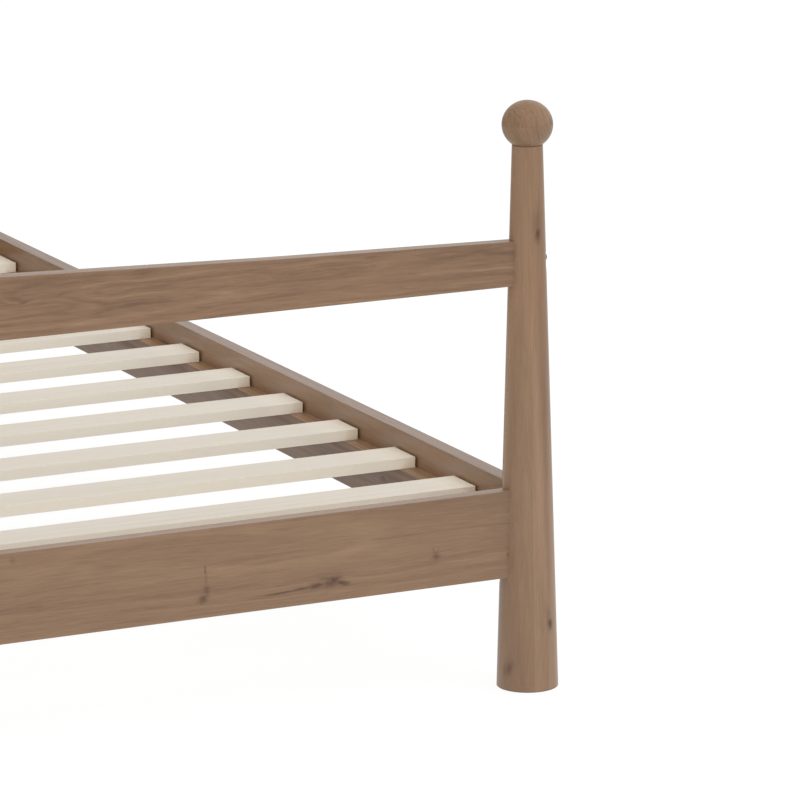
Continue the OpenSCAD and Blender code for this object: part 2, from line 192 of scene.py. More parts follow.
def oak(name, axis, box, seed, base, pith=(0.03, 0.09), pitch=0.006, lean=0.0, sway=0.030, ripple=0.003,
        rings=1.0, streak=1.0, fibre=1.0, broad=1.0, flame=0.0, knots=(), lines=(), stave=None, arch=None, edge=True,
        rough=0.30, fleck=0.0, break_up=0.0, joint=None,
        painted_height_light=None, faces=(), painted_top_light=None, calm=0.0):
    """Solid oak. Growth rings round a pith beside the board, long fibre streaks, pores, broad tone drift, placed knots, worn edges."""
    t = Tree(name)
    a, c, d = t.grain_coords(axis, box)
    s = seed * 7.31
    lo, hi = box
    if joint:
        # two blocks glued one on the other: the lower one is cut from another part of the log
        low = t.range(a, joint["at"] + 0.0003, joint["at"] - 0.0003)
        c = t.mad(low, joint["shift"], t.mad(t.mul(low, a), joint["lean"], c))
        d = t.mad(low, joint["shift"] * 0.6, d)

    # slow drift of the fibres, then a finer ripple
    slow = t.noise(t.xyz(t.mad(a, 1.15, s), t.mul(c, 5.0), t.mul(d, 5.0)), 1.0, 2.0, 0.5)
    sr, sg, sb = t.split(slow.outputs["Color"])
    fine = t.noise(t.xyz(t.mad(a, 11.0, s * 1.7), t.mul(c, 42.0), t.mul(d, 42.0)), 1.0, 2.0, 0.55)
    fr, fg, fb = t.split(fine.outputs["Color"])
    c1 = t.mad(t.sub(sr, 0.5), sway, t.mad(t.sub(fr, 0.5), ripple, c))
    d1 = t.mad(t.sub(sg, 0.5), sway, t.mad(t.sub(fg, 0.5), ripple, d))

    wob = t.noise(t.xyz(t.mul(a, 95.0), t.mul(c, 240.0), t.mul(d, 240.0)), 1.0, 2.0, 0.6)
    wobble = t.sub(wob.outputs["Fac"], 0.5)

    # growth rings: distance from the pith, bent round each knot
    rc = t.sub(c1, pith[0])
    if lean:
        rc = t.mad(a, lean, rc)
    rd = t.sub(d1, pith[1])
    r = t.math("SQRT", t.mad(rc, rc, t.mul(rd, rd)))
    dark = None
    for k in knots:
        e = ellipse(t, a, c, k, wobble)
        near = t.math("EXPONENT", t.mul(t.mul(e, e), -0.32))
        if "side" in k:  # only on one side of a post
            near = t.mul(near, t.range(d, 0.004 * k["side"], -0.004 * k["side"]))
        r = t.mad(near, k.get("bend", 0.006), r)
        core = t.math("EXPONENT", t.mul(t.mul(e, e), -1.35))
        if "side" in k:
            core = t.mul(core, t.range(d, 0.004 * k["side"], -0.004 * k["side"]))
        core = t.mul(core, k.get("dark", 0.6))
        dark = core if dark is None else t.math("MAXIMUM", dark, core)
    ring = t.noise1(t.mad(r, 1.0 / pitch, s), 1.0, 3.0, 0.62)
    ringc = t.sub(ring, 0.5)

    # long streaks and short fibres
    v1 = t.xyz(t.mad(a, 5.5, s), t.mul(c1, 150.0), t.mul(d1, 150.0))
    st = t.sub(t.noise(v1, 1.0, 3.0, 0.62).outputs["Fac"], 0.5)
    v2 = t.xyz(t.mad(a, 22.0, s), t.mul(c1, 520.0), t.mul(d1, 520.0))
    fi = t.sub(t.noise(v2, 1.0, 2.0, 0.6).outputs["Fac"], 0.5)
    br = t.sub(sb, 0.5)

    if break_up:
        # the figure comes and goes along the board
        bu = t.noise(t.xyz(t.mad(a, 13.0, s * 1.3), t.mul(c, 46.0), t.mul(d, 46.0)), 1.0, 2.0, 0.5).outputs["Fac"]
        val = t.mad(t.mul(ringc, t.range(bu, 0.36, 0.62, 1.0 - break_up, 1.0 + break_up)), 0.95 * rings, 0.5)
    else:
        val = t.mad(ringc, 0.95 * rings, 0.5)
    val = t.mad(st, 0.62 * streak, val)
    val = t.mad(fi, 0.42 * fibre, val)
    val = t.mad(br, 0.75 * broad, val)
    if fleck:
        # short pale rays and dark dashes
        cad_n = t.noise(t.xyz(t.mad(a, 17.0, s * 2.1), t.mul(c1, 205.0), t.mul(d1, 205.0)), 1.0, 2.0, 0.55).outputs["Fac"]
        val = t.mad(t.range(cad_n, 0.56, 0.72), 0.20 * fleck, val)
        val = t.mad(t.range(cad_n, 0.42, 0.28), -0.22 * fleck, val)
    if flame:
        # cathedral figure: light loops where the rings turn over
        w = t.noise(t.xyz(t.mad(a, 12.0, s * 0.7), t.mul(c1, 115.0), t.mul(d1, 115.0)), 1.0, 3.0, 0.6, 0.6)
        fl = t.sub(w.outputs["Fac"], 0.5)
        val = t.mad(fl, flame, val)
    if painted_height_light:
        # painted light: lighter towards the top of the blank, on one side of it only
        up = t.mul(t.range(a, painted_height_light["from"], painted_height_light["to"]), t.range(c, painted_height_light["edge"], painted_height_light["edge"] - painted_height_light["soft"]))
        val = t.mad(up, painted_height_light["tone"], val)
    for ln in lines:  # a long line that the grain follows, light or dark
        # centre c = at + slope * (a - a0) + curve * (a - a0)^2
        da = t.sub(a, ln["from"])
        mid = t.mad(t.mul(da, da), ln.get("curve", 0.0), t.mad(da, ln.get("slope", 0.0), ln["at"]))
        off = t.math("ABSOLUTE", t.sub(t.mad(t.sub(fr, 0.5), 0.004, c), mid))
        m = t.range(off, ln["width"], 0.0)
        m = t.mul(m, t.range(t.math("ABSOLUTE", t.sub(a, ln["mid"])), ln["half"], ln["half"] * 0.55))
        val = t.mad(m, ln["tone"], val)
    if stave:
        # glued-up blank: each side of the glue plane is its own piece of wood
        side_r = t.range(c, stave["at"] - 0.0004, stave["at"] + 0.0004)
        if "fade" in stave:
            side_r = t.mul(side_r, t.range(a, stave["fade"][1], stave["fade"][0], 0.0, 1.0))
        val = t.mad(side_r, stave["step"], val)
        glue = t.range(t.math("ABSOLUTE", t.sub(c, stave["at"])), 0.0007, 0.0002)

    painted_top_mask = None
    if painted_top_light:
        # the face that lies flat: its grain contrast is evened out and its colour tinted cooler (paler on the foot
        # rails), painted light standing in for the sky's reflection on it
        nz = t.split(t.node("ShaderNodeNewGeometry").outputs["Normal"])[2]
        painted_top_mask = t.range(nz, 0.88, 0.96)
        val = t.sub(val, t.mul(t.mul(painted_top_mask, calm), t.sub(val, 0.5)))

    k = lambda m, tint=(1, 1, 1): tuple(b * m * q for b, q in zip(base, tint))
    colour = t.ramp(val, [
        (0.10, k(0.60, (1.02, 0.97, 0.93))),
        (0.36, k(0.86, (1.01, 0.99, 0.97))),
        (0.50, k(1.00)),
        (0.64, k(1.13, (0.995, 1.01, 1.02))),
        (0.90, k(1.42, (0.98, 1.03, 1.07))),
    ])

    if joint:
        colour = t.mix(low, colour, (0.955, 1.0, 1.10), "MULTIPLY")
        seam = t.range(t.math("ABSOLUTE", t.sub(a, joint["at"])), 0.0006, 0.0002)
        colour = t.mix(t.mul(seam, 0.18), colour, k(0.55))
    # painted light on the upward face
    if painted_top_mask is not None:
        colour = t.mix(painted_top_mask, colour, painted_top_light, "MULTIPLY")

    # open pores, only where the early wood is
    v3 = t.xyz(t.mad(a, 70.0, s), t.mul(c1, 1900.0), t.mul(d1, 1900.0))
    pore = t.noise(v3, 1.0, 1.0, 0.5).outputs["Fac"]
    pores = t.mul(t.range(pore, 0.60, 0.72), t.range(ring, 0.62, 0.42))
    colour = t.mix(t.mul(pores, 0.22), colour, k(0.50, (1.0, 0.92, 0.85)))
    if stave:
        colour = t.mix(t.mul(glue, 0.16), colour, k(0.62))
    if dark is not None:
        colour = t.mix(t.math("MINIMUM", dark, 1.0), colour, k(0.33, (1.10, 0.86, 0.78)))

    for f in faces:  # zones tinted by height, by distance from the middle and along y: mostly painted shade and painted light, given at each call; the posts' band above 0.56 m is a warmer tone
        x, y, z = t.xyz_raw
        m = t.range(z, f["z"][0], f["z"][1])
        if "x" in f:
            m = t.mul(m, t.range(t.math("ABSOLUTE", x), f["x"][0], f["x"][1]))
        if "y" in f:
            m = t.mul(m, t.range(t.math("ABSOLUTE", t.sub(y, f["y"][0])), f["y"][1], f["y"][1] * 0.35))
        colour = t.mix(m, colour, f["tint"], "MULTIPLY")

    # worn, slightly bleached arrises
    if edge:
        x, y, z = t.xyz_raw
        top = hi.z
        if arch:
            # the upper edge of a rail that rises to the middle
            z0, h, rise, curve, reach, soft = arch
            root = t.math("SQRT", t.mad(x, x, soft * soft))
            u = t.math("MAXIMUM", t.mad(root, -1.0 / reach, 1.0), 0.0)
            top = t.add(t.mad(t.mul(u, u), curve, t.mul(u, rise)), z0 + h)
        ends = {"X": (y, lo.y, hi.y, z, lo.z, top), "Y": (x, lo.x, hi.x, z, lo.z, top)}.get(axis)
        if ends:
            p, p0, p1, q, q0, q1 = ends
            dp = t.math("MINIMUM", t.math("ABSOLUTE", t.sub(p, p0)), t.math("ABSOLUTE", t.sub(p, p1)))
            dq = t.math("MINIMUM", t.math("ABSOLUTE", t.sub(q, q0)), t.math("ABSOLUTE", t.sub(q, q1)))
            near_edge = t.range(t.mad(wobble, 0.004, t.add(dp, dq)), 0.0034, 0.0002)
        else:
            dz = t.math("MINIMUM", t.math("ABSOLUTE", t.sub(z, lo.z)), t.math("ABSOLUTE", t.sub(z, hi.z)))
            near_edge = t.range(t.mad(wobble, 0.004, dz), 0.0040, 0.0004)
        colour = t.mix(t.mul(near_edge, 0.09), colour, k(1.55, (0.95, 1.02, 1.10)))

    t.put(t.bsdf.inputs["Base Color"], colour)
    rv = t.mad(ringc, -0.10, t.mad(st, -0.12, t.mad(pores, 0.14, rough)))
    if dark is not None:
        rv = t.mad(dark, 0.10, rv)
    t.put(t.bsdf.inputs["Roughness"], rv)
    t.bsdf.inputs["IOR"].default_value = 1.45
    height = t.mad(pores, -0.8, t.mad(fi, 0.55, t.mul(ringc, 0.5)))
    if dark is not None:
        height = t.mad(dark, -0.9, height)
    t.put(t.bsdf.inputs["Normal"], t.bump(height, 0.35, 0.00035))
    return t.mat


OAK = (0.256, 0.154, 0.090)
OAK_UP = (0.242, 0.141, 0.080)
# a darker copy of OAK for the ledges, beam and legs under the slats: painted shade
OAK_SHADED = (0.212, 0.127, 0.073)
POST = (0.247, 0.148, 0.086)
CREAM = (0.694, 0.638, 0.548)


def box(n):
    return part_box(n)


def paint(node, mat):
    o = NODES[node] if isinstance(node, str) else node
    for s in o.material_slots:
        s.material = mat
    if not o.material_slots:
        o.data.materials.append(mat)


# ----------------------------------------------------- eased board pieces ----
def board(node, mat, ease=0.0006, pick=None, name=None):
    """A board like its CAD node, holes and housings included, with its long outer edges eased by a small radius."""
    src = NODES[node].data
    lo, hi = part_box(node)
    bm = bmesh.new()
    bm.from_mesh(src)
    bmesh.ops.remove_doubles(bm, verts=bm.verts, dist=2e-6)
    bmesh.ops.dissolve_limit(bm, angle_limit=math.radians(0.4), verts=bm.verts, edges=bm.edges)
    bm.edges.ensure_lookup_table()
    todo = []
    for e in bm.edges:
        if len(e.link_faces) != 2 or e.calc_length() < 0.004:
            continue
        if e.calc_face_angle(0.0) < math.radians(40):
            continue
        if pick(e.verts[0].co, e.verts[1].co, lo, hi):
            todo.append(e)
    bmesh.ops.bevel(bm, geom=todo, offset=ease, offset_type="OFFSET", segments=3, profile=0.5,
                    affect="EDGES", clamp_overlap=False)
    me = bpy.data.meshes.new(name or node + "_piece")
    for f in bm.faces:
        f.smooth = True
    for e in bm.edges:
        if len(e.link_faces) == 2 and e.calc_face_angle(0.0) > math.radians(38):
            e.smooth = False
    bm.to_mesh(me)
    bm.free()
    o = bpy.data.objects.new(name or node + "_piece", me)
    bpy.context.scene.collection.objects.link(o)
    me.materials.append(mat)
    w = o.modifiers.new("normals", "WEIGHTED_NORMAL")
    w.keep_sharp = True
    w.weight = 90
    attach(o, "root")
    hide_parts(node)
    return o


def on(v, w, t=3e-5):
    return abs(v - w) < t


def outer(p, q, lo, hi):
    """An edge of the board's own box, whole or in part."""
    n = 0
    for i in range(3):
        if any(on(p[i], x) and on(q[i], x) for x in (lo[i], hi[i])):
            n += 1
    return n >= 2


def outer_arch(p, q, lo, hi):
    """An edge along a face of an arched rail."""
    return any(on(p.y, y) and on(q.y, y) for y in (lo.y, hi.y)) and min(
        abs(p.x - lo.x), abs(p.x - hi.x), abs(q.x - lo.x), abs(q.x - hi.x)) > -1 and (
        (on(p.z, lo.z) and on(q.z, lo.z)) or (p.z > lo.z + 0.05 and q.z > lo.z + 0.05) or
        (on(p.x, q.x) and (on(p.x, lo.x) or on(p.x, hi.x))))


# Foot lower rail
b = box("foot_lower_rail")
zc = (b[0].z + b[1].z) / 2
foot_low = oak("oak_foot_lower", "X", b, 1.0, OAK, pith=(0.035, 0.075), pitch=0.0105, lean=0.012, sway=0.050, ripple=0.0045,
               rings=0.42, streak=0.44, fibre=0.95, broad=0.50, fleck=0.36, break_up=0.6,
               knots=[
                   dict(at=(0.4980, 0.2260 - zc), size=(0.0016, 0.0085), turn=0.06, dark=0.62, rag=0.8, bend=0.0008),
                   dict(at=(0.4992, 0.2120 - zc), size=(0.0020, 0.0080), turn=0.02, dark=0.34, rag=1.0, bend=0.0008),
                   dict(at=(0.4998, 0.1975 - zc), size=(0.0046, 0.0085), turn=0.10, dark=0.60, rag=1.2, bend=0.0012),
                   dict(at=(0.4945, 0.1865 - zc), size=(0.0085, 0.0060), turn=0.70, dark=0.82, rag=1.1, bend=0.0012),
                   dict(at=(0.6080, 0.1808 - zc), size=(0.030, 0.0017), turn=0.045, dark=0.90, rag=0.6, bend=0.0006),
                   dict(at=(0.6420, 0.1832 - zc), size=(0.020, 0.0023), turn=0.07, dark=0.86, rag=0.9, bend=0.0010),
                   dict(at=(0.6720, 0.1872 - zc), size=(0.032, 0.0105), turn=0.12, dark=0.30, rag=1.0, bend=0.0022),
                   dict(at=(0.6620, 0.1848 - zc), size=(0.016, 0.0044), turn=0.10, dark=0.88, rag=1.3, bend=0.0012),
                   dict(at=(0.6850, 0.1882 - zc), size=(0.014, 0.0074), turn=0.34, dark=1.0, rag=1.5, bend=0.0030),
                   dict(at=(0.6740, 0.1930 - zc), size=(0.014, 0.0034), turn=-0.05, dark=0.55, rag=1.2, bend=0.0010),
                   dict(at=(0.6985, 0.1848 - zc), size=(0.013, 0.0042), turn=-0.32, dark=0.92, rag=1.2, bend=0.0012),
                   dict(at=(0.8412, 0.2040 - zc), size=(0.0058, 0.0066), turn=0.5, dark=0.60, rag=1.0, bend=0.0022),
                   dict(at=(0.8372, 0.2125 - zc), size=(0.0016, 0.0056), turn=0.3, dark=0.40, rag=0.8, bend=0.0006),
                   dict(at=(0.8440, 0.2120 - zc), size=(0.0014, 0.0036), turn=-0.4, dark=0.32, rag=0.8, bend=0.0004),
                   dict(at=(0.9515, 0.1935 - zc), size=(0.0035, 0.0045), turn=0.0, dark=0.62, rag=0.6, bend=0.001),
                   dict(at=(0.2233, 0.2720 - zc), size=(0.0040, 0.0060), turn=0.3, dark=0.30, rag=0.6, bend=0.001),
                   dict(at=(-0.310, 0.2150 - zc), size=(0.0110, 0.0080), turn=0.2, dark=0.70, rag=1.0, bend=0.005),
                   dict(at=(-0.760, 0.2420 - zc), size=(0.0060, 0.0050), turn=0.2, dark=0.55, rag=0.9, bend=0.004),
               ],
               lines=[
                   dict(at=0.2385 - zc, slope=0.010, curve=-0.05, mid=0.84, half=0.16, width=0.0026, tone=-0.13, **{"from": 0.74}),
                   dict(at=0.1975 - zc, slope=-0.010, curve=-0.20, mid=0.84, half=0.13, width=0.0026, tone=0.11, **{"from": 0.76}),
                   dict(at=0.2290 - zc, slope=0.030, curve=0.0, mid=0.40, half=0.26, width=0.0034, tone=-0.10, **{"from": 0.40}),
                   dict(at=0.2240 - zc, slope=0.060, curve=-0.06, mid=0.62, half=0.12, width=0.0030, tone=-0.07, **{"from": 0.56}),
               ],
               # the upper part is darker towards both ends; the top face tint is painted light
               faces=[dict(z=(0.205, 0.232), x=(0.70, 0.80), tint=(0.93, 0.93, 0.92))],
               painted_top_light=(1.09, 1.16, 1.25), calm=0.78)
board("foot_lower_rail", foot_low, pick=outer)

# Foot upper rail
b = box("foot_upper_rail")
zc = (b[0].z + b[1].z) / 2
ARCH = (0.5671, 0.0614, 0.0197, 0.0124, 0.9869, 0.050)
foot_up = oak("oak_foot_upper", "X", b, 2.0, OAK_UP, pith=(0.004, 0.034), pitch=0.0042, lean=-0.004, sway=0.026, ripple=0.006,
              rings=0.76, streak=0.84, fibre=0.9, broad=0.40, flame=0.24, fleck=0.64, break_up=0.55,
              knots=[
                  dict(at=(0.2471, 0.6136 - zc), size=(0.006, 0.0030), turn=0.3, dark=0.26, rag=0.7, bend=0.002),
                  dict(at=(0.269, 0.6240 - zc), size=(0.034, 0.0065), turn=0.02, dark=0.0, rag=0.2, bend=0.0105),
                  dict(at=(0.364, 0.6190 - zc), size=(0.026, 0.0075), turn=0.03, dark=0.0, rag=0.2, bend=0.0120),
                  dict(at=(0.459, 0.6180 - zc), size=(0.048, 0.0080), turn=0.02, dark=0.0, rag=0.2, bend=0.0130),
                  dict(at=(0.560, 0.6165 - zc), size=(0.030, 0.0070), turn=0.00, dark=0.0, rag=0.2, bend=0.0100),
                  dict(at=(0.690, 0.6150 - zc), size=(0.052, 0.0070), turn=0.02, dark=0.0, rag=0.2, bend=0.0110),
                  dict(at=(-0.120, 0.6150 - zc), size=(0.060, 0.0080), turn=0.02, dark=0.0, rag=0.2, bend=0.0110),
                  dict(at=(-0.640, 0.6120 - zc), size=(0.055, 0.0070), turn=0.02, dark=0.0, rag=0.2, bend=0.0100),
                  dict(at=(0.905, 0.6080 - zc), size=(0.050, 0.0040), turn=0.05, dark=0.20, rag=1.0, bend=0.002),
                  dict(at=(0.870, 0.6130 - zc), size=(0.035, 0.0030), turn=-0.08, dark=0.18, rag=1.0, bend=0.002),
                  dict(at=(-0.420, 0.6040 - zc), size=(0.008, 0.0055), turn=0.2, dark=0.55, rag=0.9, bend=0.006),
              # the rail is darker towards both ends: painted shade; the top face tint is painted light
              ], arch=ARCH, faces=[dict(z=(0.0, 0.1), x=(0.60, 0.85), tint=(0.965, 0.965, 0.965))], painted_top_light=(1.12, 1.18, 1.27))
board("foot_upper_rail", foot_up, pick=outer_arch)

# Head rails
b = box("head_lower_rail")
board("head_lower_rail", oak("oak_head_lower", "X", b, 3.0, OAK, pith=(-0.020, -0.080), pitch=0.0080, sway=0.045, ripple=0.003,
      rings=0.85, streak=0.6, fibre=0.7, broad=0.75,
      knots=[dict(at=(0.35, 0.012), size=(0.009, 0.007), dark=0.65, rag=0.9, bend=0.008),
             dict(at=(-0.52, -0.020), size=(0.018, 0.004), turn=0.1, dark=0.6, rag=0.9, bend=0.004)]), pick=outer)
b = box("head_mid_rail")
board("head_mid_rail", oak("oak_head_mid", "X", b, 4.0, OAK_UP, pith=(0.010, -0.060), pitch=0.0060, sway=0.030, ripple=0.004,
      rings=0.9, streak=0.7, fibre=0.8, broad=0.6), pick=outer)
b = box("head_top_rail")
board("head_top_rail", oak("oak_head_top", "X", b, 5.0, OAK_UP, pith=(-0.004, -0.040), pitch=0.0055, lean=0.003, sway=0.030,
      ripple=0.006, rings=1.1, streak=0.9, fibre=0.9, broad=0.55, flame=0.45,
      arch=(0.900, 0.0614, 0.0197, 0.0124, 0.9869, 0.050),
      knots=[dict(at=(0.55, 0.004), size=(0.008, 0.005), dark=0.55, rag=0.9, bend=0.006)]), pick=outer_arch)

# Side rails
for i, s in enumerate(("left", "right")):
    n = "side_rail_" + s
    b = box(n)
    sg = -1 if s == "left" else 1
    board(n, oak("oak_side_" + s, "Y", b, 6.0 + i, (0.268, 0.158, 0.089), pith=(0.020, 0.085 * sg), pitch=0.0085, lean=0.004, sway=0.045,
          ripple=0.004, rings=0.55, streak=0.55, fibre=0.85, broad=0.6, fleck=0.3, break_up=0.5,
          # inner face: darker below the ledge and along a middle stretch, painted shade; the top face tint is painted
          # light
          faces=[dict(z=(0.2405, 0.2155), x=(0.9765, 0.9755), tint=(0.70, 0.68, 0.66)),
                 dict(z=(0.0, 0.1), x=(0.9765, 0.9755), y=(-0.52, 0.24), tint=(0.87, 0.85, 0.82))],
          painted_top_light=(0.86, 0.93, 1.08), calm=0.2,
          knots=[dict(at=(-0.62, -0.024), size=(0.012, 0.007), turn=0.1, dark=0.7, rag=0.9, bend=0.008),
                 dict(at=(0.18, 0.021), size=(0.020, 0.0035), turn=0.08, dark=0.6, rag=0.9, bend=0.004),
                 dict(at=(0.71, -0.010), size=(0.007, 0.006), turn=0.4, dark=0.6, rag=0.9, bend=0.006)]), pick=outer)
    n = "slat_ledge_" + s
    b = box(n)
    board(n, oak("oak_ledge_" + s, "Y", b, 9.0 + i, OAK_SHADED, pith=(0.020, -0.05 * sg), pitch=0.0060, sway=0.03, ripple=0.003,
          rings=0.8, streak=0.8, fibre=0.8, broad=0.8, rough=0.46,
          # below its top the ledge is darker, painted shade; its top face is lighter, painted light
          faces=[dict(z=(0.2398, 0.2392), tint=(0.78, 0.725, 0.69)), dict(z=(0.2394, 0.2400), tint=(1.45, 1.40, 1.30))]),
          ease=0.0006, pick=outer)

# Headboard panel: five boards edge to edge
b = box("headboard_panel")
paint("headboard_panel", oak("oak_panel", "X", b, 12.0, OAK_UP, pith=(0.050, -0.120), pitch=0.0075, sway=0.050, ripple=0.004,
      rings=1.0, streak=0.8, fibre=0.8, broad=0.8, flame=0.3, edge=False,
      knots=[dict(at=(-0.30, 0.060), size=(0.014, 0.010), dark=0.6, rag=0.9, bend=0.012),
             dict(at=(0.46, -0.090), size=(0.018, 0.008), dark=0.65, rag=0.9, bend=0.010)]))

# Posts and finials
POST_KNOTS = {
    "foot_post_right": [
        dict(at=(0.6395, 0.0035), size=(0.0115, 0.0052), turn=0.06, dark=1.05, rag=0.9, bend=0.003, side=1),
        dict(at=(0.6540, 0.0025), size=(0.0260, 0.0085), turn=0.10, dark=0.42, rag=0.8, bend=0.002, side=1),
        dict(at=(0.0945, 0.0166), size=(0.0092, 0.0048), turn=-0.2, dark=1.10, rag=0.8, bend=0.003, side=1),
        dict(at=(0.1080, 0.0145), size=(0.0160, 0.0048), turn=-0.1, dark=0.36, rag=0.8, bend=0.002, side=1),
        dict(at=(0.0335, -0.0372), size=(0.0125, 0.0034), turn=0.2, dark=0.60, rag=0.8, bend=0.003, side=1),
    ],
}
for i, n in enumerate(("foot_post_left", "foot_post_right", "head_post_left", "head_post_right")):
    b = box(n)
    x0 = (b[0].x + b[1].x) / 2
    bb = (Vector((math.copysign(0.9869, x0) - 0.0425, b[0].y, b[0].z)), Vector((math.copysign(0.9869, x0) + 0.0425, b[1].y, b[1].z)))
    yc = math.copysign(1.0525, b[0].y + b[1].y)
    bb[0].y, bb[1].y = yc - 0.0425, yc + 0.0425
    kn = POST_KNOTS.get(n, [dict(at=(0.22 + 0.13 * i, 0.012), size=(0.010, 0.005), dark=0.6, rag=0.7, bend=0.006, side=-1 if i > 1 else 1),
                            dict(at=(0.52 - 0.06 * i, -0.014), size=(0.008, 0.004), dark=0.5, rag=0.7, bend=0.005, side=1 if i > 1 else -1)])
    m = oak("oak_" + n, "Z", bb, 20.0 + i, POST, pith=(0.060, 0.050 * (-1 if i > 1 else 1)), pitch=0.0075, lean=0.010, sway=0.020, ripple=0.0025,
            rings=0.30, streak=0.36, fibre=0.85, broad=0.36, knots=kn, break_up=0.5,
            stave=dict(at=-0.0095 if i in (1, 3) else 0.0095, step=0.16 if i in (1, 3) else -0.16, fade=(0.22, 0.42)),
            lines=[dict(at=0.0125 if i in (1, 3) else -0.0125, mid=0.24, half=0.30, width=0.0080, tone=-0.13, **{"from": 0.0})],
            # warmer above 0.56 m; the lowest 3 mm darker, a painted contact shadow; the last argument paints light,
            # lighter higher up on one side
            faces=[dict(z=(0.40, 0.56), tint=(1.0, 0.96, 0.91)), dict(z=(0.0030, 0.0010), tint=(0.66, 0.64, 0.62))],
            painted_height_light=dict(tone=0.18, edge=0.010, soft=0.012, **{"from": 0.10, "to": 0.30}))
    paint(n, m)
    f = n.replace("post", "finial")
    fkn = [dict(at=(0.7920, 0.0240), size=(0.0050, 0.0034), dark=0.42, rag=0.8, bend=0.003, side=1),
           dict(at=(0.7930, -0.0255), size=(0.0060, 0.0032), dark=0.20, rag=0.8, bend=0.003, side=1)] if n == "foot_post_right" else []
    bf = box(f)
    paint(f, oak("oak_" + f, "Z", bf, 30.0 + i, (0.246, 0.140, 0.072), pith=(0.600, 0.030), pitch=0.0048, lean=0.04, sway=0.014, ripple=0.003,
                 # the outer side of each ball is darker: painted shade
                 rings=0.60, streak=0.92, fibre=1.1, broad=0.7, edge=False, rough=0.33, knots=fkn, faces=[dict(z=(0.0, 0.1), x=(0.998, 1.018), tint=(0.82, 0.81, 0.79))], joint=dict(at=-0.0013 + (bf[0].z + bf[1].z) / 2, shift=0.061, lean=0.40)))

# ------------------------------------------------------------------ slats ----
def slat_wood(name, b, seed, base=CREAM, painted_front_light=1.06, painted_end_light=1.0):
    """Pale, close-grained sawn wood, nearly without figure."""
    t = Tree(name)
    a, c, d = t.grain_coords("X", b)
    # across a slat is Y, its depth is Z
    a, c, d = a, d, c
    s = seed * 5.17
    slow = t.noise(t.xyz(t.mad(a, 0.9, s), t.mul(c, 9.0), t.mul(d, 9.0)), 1.0, 2.0, 0.5)
    sr, sg, sb = t.split(slow.outputs["Color"])
    c1 = t.mad(t.sub(sr, 0.5), 0.020, c)
    d1 = t.mad(t.sub(sg, 0.5), 0.020, d)
    ring = t.noise1(t.mad(t.math("SQRT", t.mad(t.sub(c1, 0.010 + 0.01 * (seed % 3)), t.sub(c1, 0.010 + 0.01 * (seed % 3)), t.mul(t.sub(d1, 0.06), t.sub(d1, 0.06)))), 150.0, s), 1.0, 3.0, 0.6)
    st = t.noise(t.xyz(t.mad(a, 7.0, s), t.mul(c1, 190.0), t.mul(d1, 190.0)), 1.0, 3.0, 0.6).outputs["Fac"]
    fi = t.noise(t.xyz(t.mad(a, 40.0, s), t.mul(c1, 900.0), t.mul(d1, 900.0)), 1.0, 1.0, 0.5).outputs["Fac"]
    val = t.mad(t.sub(ring, 0.5), 0.40, t.mad(t.sub(st, 0.5), 0.38, t.mad(t.sub(fi, 0.5), 0.35, t.mad(t.sub(sb, 0.5), 0.5, 0.5))))
    k = lambda m, q=(1, 1, 1): tuple(v * m * w for v, w in zip(base, q))
    col = t.ramp(val, [(0.10, k(0.80, (1.0, 0.97, 0.90))), (0.40, k(0.965, (1.0, 0.995, 0.98))), (0.55, k(1.0)), (0.90, k(1.10, (1.0, 1.01, 1.04)))])
    x, y, z = t.xyz_raw
    lo, hi = b
    dy = t.math("MINIMUM", t.math("ABSOLUTE", t.sub(y, lo.y)), t.math("ABSOLUTE", t.sub(y, hi.y)))
    dz = t.math("MINIMUM", t.math("ABSOLUTE", t.sub(z, lo.z)), t.math("ABSOLUTE", t.sub(z, hi.z)))
    near_edge = t.range(t.mad(t.sub(st, 0.5), 0.004, t.add(dy, dz)), 0.0030, 0.0002)
    # the front and back faces are lightened, most on slats 1 and 2: painted light where the rails shade them
    painted_front_mask = t.range(dy, 0.0005, 0.0001)
    col = t.mix(t.mul(painted_front_mask, 0.9), col, k(painted_front_light, (1.0, 1.0, 0.985)))
    # paler towards both ends, and palest on the sawn ends: painted light where the side rails and posts shade the slat
    # ends
    ax = t.math("ABSOLUTE", x)
    if painted_end_light > 1.0:
        col = t.mix(t.range(ax, 0.55, 0.94), col, (painted_end_light, painted_end_light, painted_end_light), "MULTIPLY")
    painted_tip_light = 1.12 if painted_end_light > 1.0 else 1.15
    col = t.mix(t.range(ax, 0.895, 0.950), col, (painted_tip_light, painted_tip_light, painted_tip_light), "MULTIPLY")
    col = t.mix(t.range(ax, 0.940, 0.9635), col, (1.10, 1.09, 1.07), "MULTIPLY")
    col = t.mix(t.range(ax, hi.x - 0.0006, hi.x - 0.0002), col, (1.16, 1.15, 1.10), "MULTIPLY")
    col = t.mix(t.mul(near_edge, 0.30), col, k(1.16, (1.0, 1.0, 1.02)))
    t.put(t.bsdf.inputs["Base Color"], col)
    t.put(t.bsdf.inputs["Roughness"], t.mad(t.sub(st, 0.5), -0.15, 0.56))
    t.bsdf.inputs["IOR"].default_value = 1.45
    t.put(t.bsdf.inputs["Normal"], t.bump(t.mad(fi, 0.7, t.mul(st, 0.5)), 0.30, 0.0003))
    return t.mat


# slats 1, 2, 9 and 10 are given a paler base, slats 1 and 2 paler ends too: painted light where the rails, posts and
# headboard shade them
for i in range(1, 11):
    n = f"slat_{i:02d}"
    b = box(n)
    board(n, slat_wood("cream_" + n, b, float(i), base=scaled(CREAM, {1: 1.005, 2: 1.01, 9: 1.04, 10: 1.09}.get(i, 1.0)),
                       painted_front_light={1: 1.26, 2: 1.20, 3: 1.09}.get(i, 1.06), painted_end_light={1: 1.09, 2: 1.03}.get(i, 1.0)),
          ease=0.0004, pick=outer)

